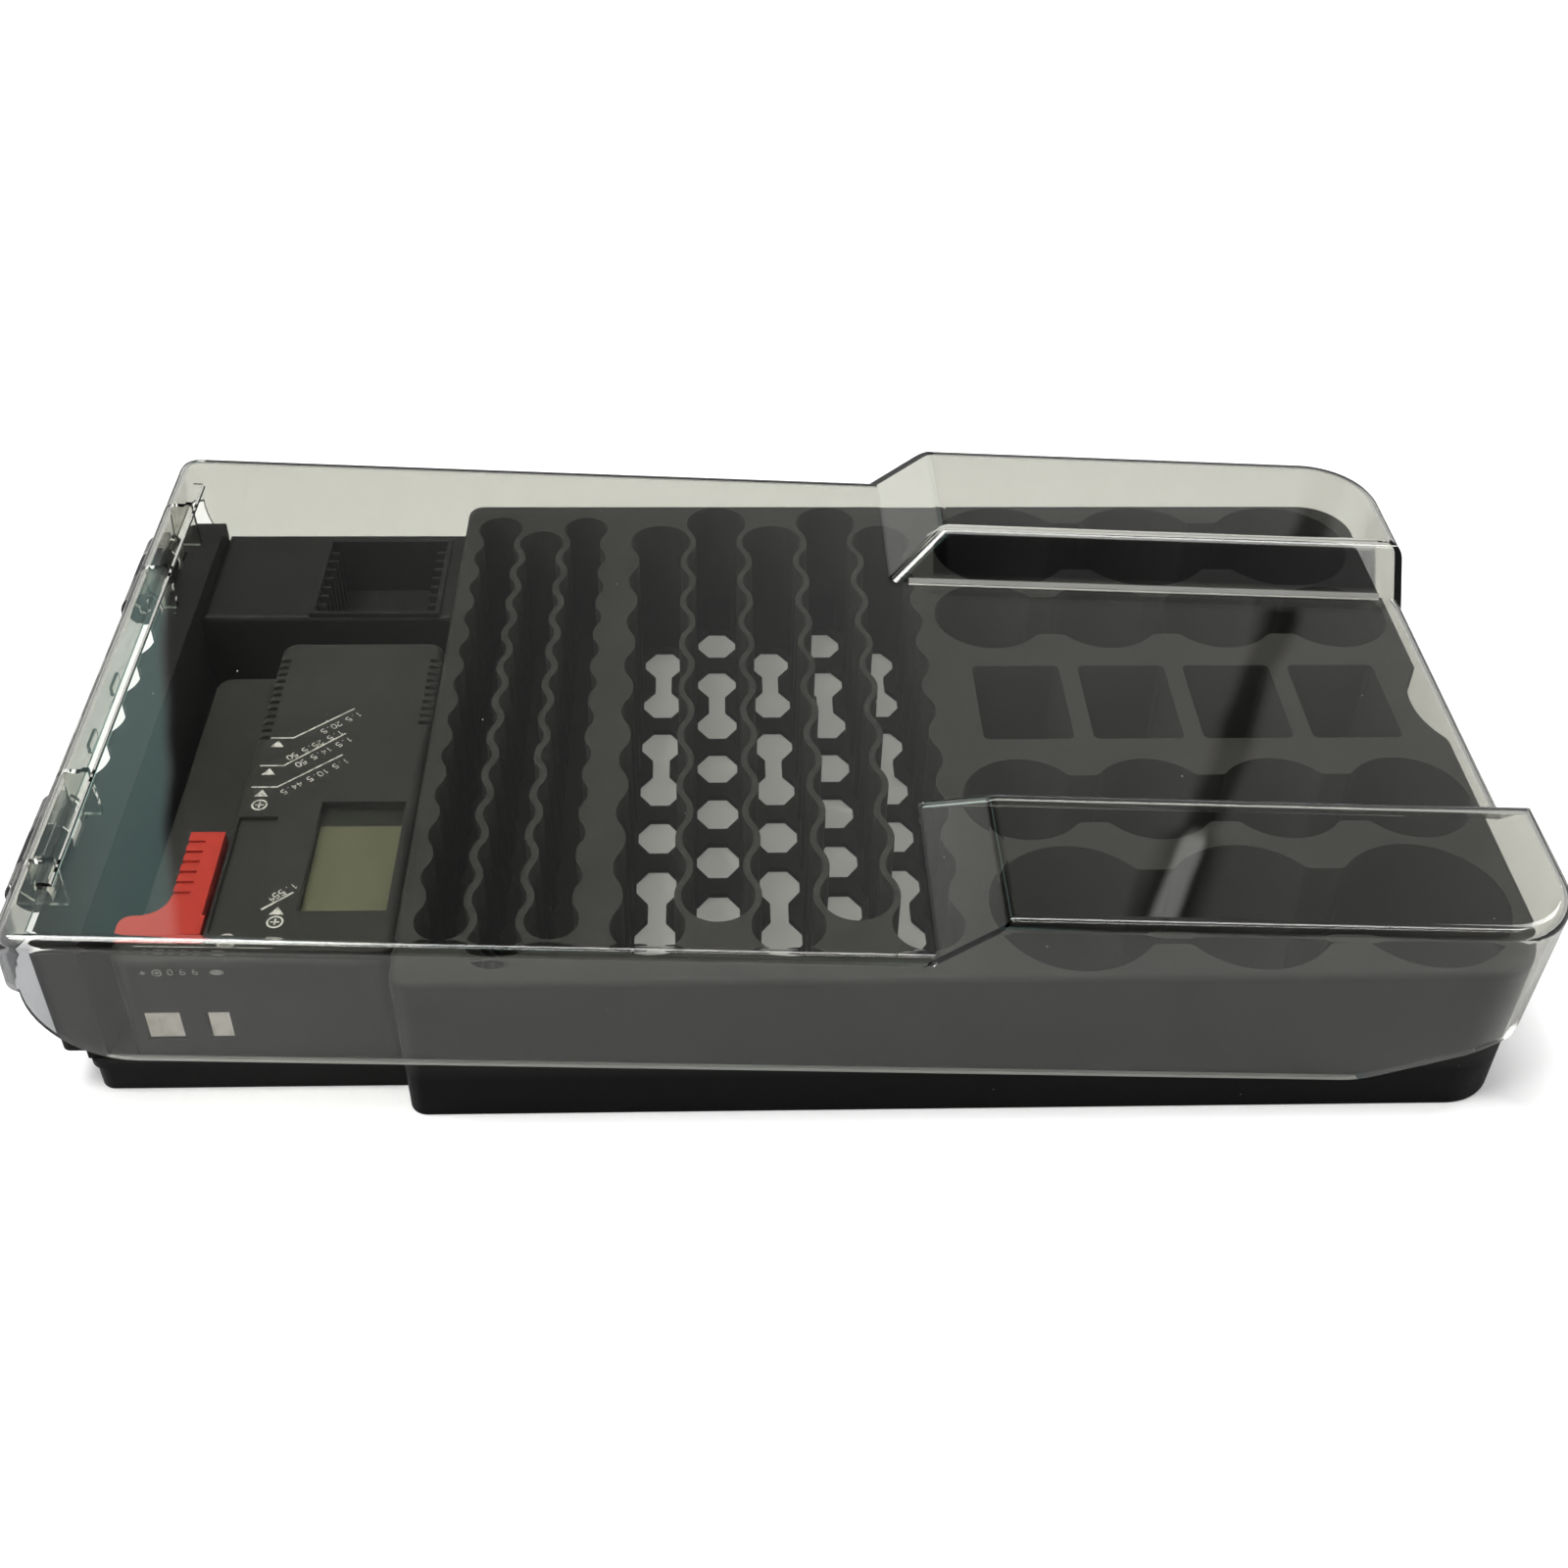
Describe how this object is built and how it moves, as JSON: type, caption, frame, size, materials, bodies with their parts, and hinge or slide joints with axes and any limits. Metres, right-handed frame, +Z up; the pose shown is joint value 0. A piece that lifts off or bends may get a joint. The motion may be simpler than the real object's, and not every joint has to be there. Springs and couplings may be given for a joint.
{
  "type": "battery storage drawer case",
  "caption": "Flat hinged case for household batteries: black cell tray with wavy bays, clear stepped lid, and a lift-out battery tester with a red slide arm.",
  "frame": {"origin": "on the underside, in the middle of the battery block, where it stands on the table", "axes": "+X from the hinge to the free end, +Y to the back (the button-cell rack), +Z up"},
  "size_m": [0.326, 0.1812, 0.0594],
  "materials": {
    "black_abs": "fine satin moulding",
    "hinge_pin": "blackened",
    "clear_styrene": "clear gloss moulding",
    "tester_abs": "fine satin moulding",
    "screw_steel": "zinc plated",
    "board_laminate": "solder mask",
    "connector_rubber": "plain",
    "lcd_glass": "reflective liquid crystal",
    "lens_acrylic": "clear",
    "plated_contact": "nickel plated strip",
    "red_abs": "satin moulding"
  },
  "bodies": {
    "base": {"battery_block_aaa": "black_abs", "battery_block_aa": "black_abs", "battery_block_d_front": "black_abs", "battery_block_c_front": "black_abs", "battery_block_nine_volt": "black_abs", "battery_block_c_rear": "black_abs", "battery_block_d_rear": "black_abs", "tester_bay": "black_abs", "hinge_wall": "black_abs", "hinge_pin_front": "hinge_pin", "hinge_pin_rear": "hinge_pin"},
    "lid": {"clear_lid": "clear_styrene"},
    "tester": {"tester_lower_shell": "tester_abs", "tester_upper_shell": "tester_abs", "tester_case_screws": "screw_steel", "tester_circuit_board": "board_laminate", "tester_board_screws": "screw_steel", "tester_lcd_connector": "connector_rubber", "tester_lcd_panel": "lcd_glass", "tester_lens": "lens_acrylic", "tester_contact_wide": "plated_contact", "tester_contact_narrow": "plated_contact", "tester_contact_fixed": "plated_contact"},
    "slide_arm": {"tester_slide_arm": "red_abs", "tester_arm_keeper": "tester_abs", "tester_contact_arm": "plated_contact"}
  },
  "joints": [
    {"name": "lid_hinge", "type": "hinge", "parent": "base", "child": "lid", "pos_m": [-0.19679, 0, 0.0435], "axis": [0, -1, 0], "range_deg": [0, 180]},
    {"name": "tester_lift", "type": "slide", "parent": "base", "child": "tester", "axis": [0, 0, 1], "range_m": [0, 0.01]},
    {"name": "arm_slide", "type": "slide", "parent": "tester", "child": "slide_arm", "axis": [0, 1, 0], "range_m": [0, 0.062], "stiffness_N_per_m": 40, "springref_m": -0.03}
  ]
}
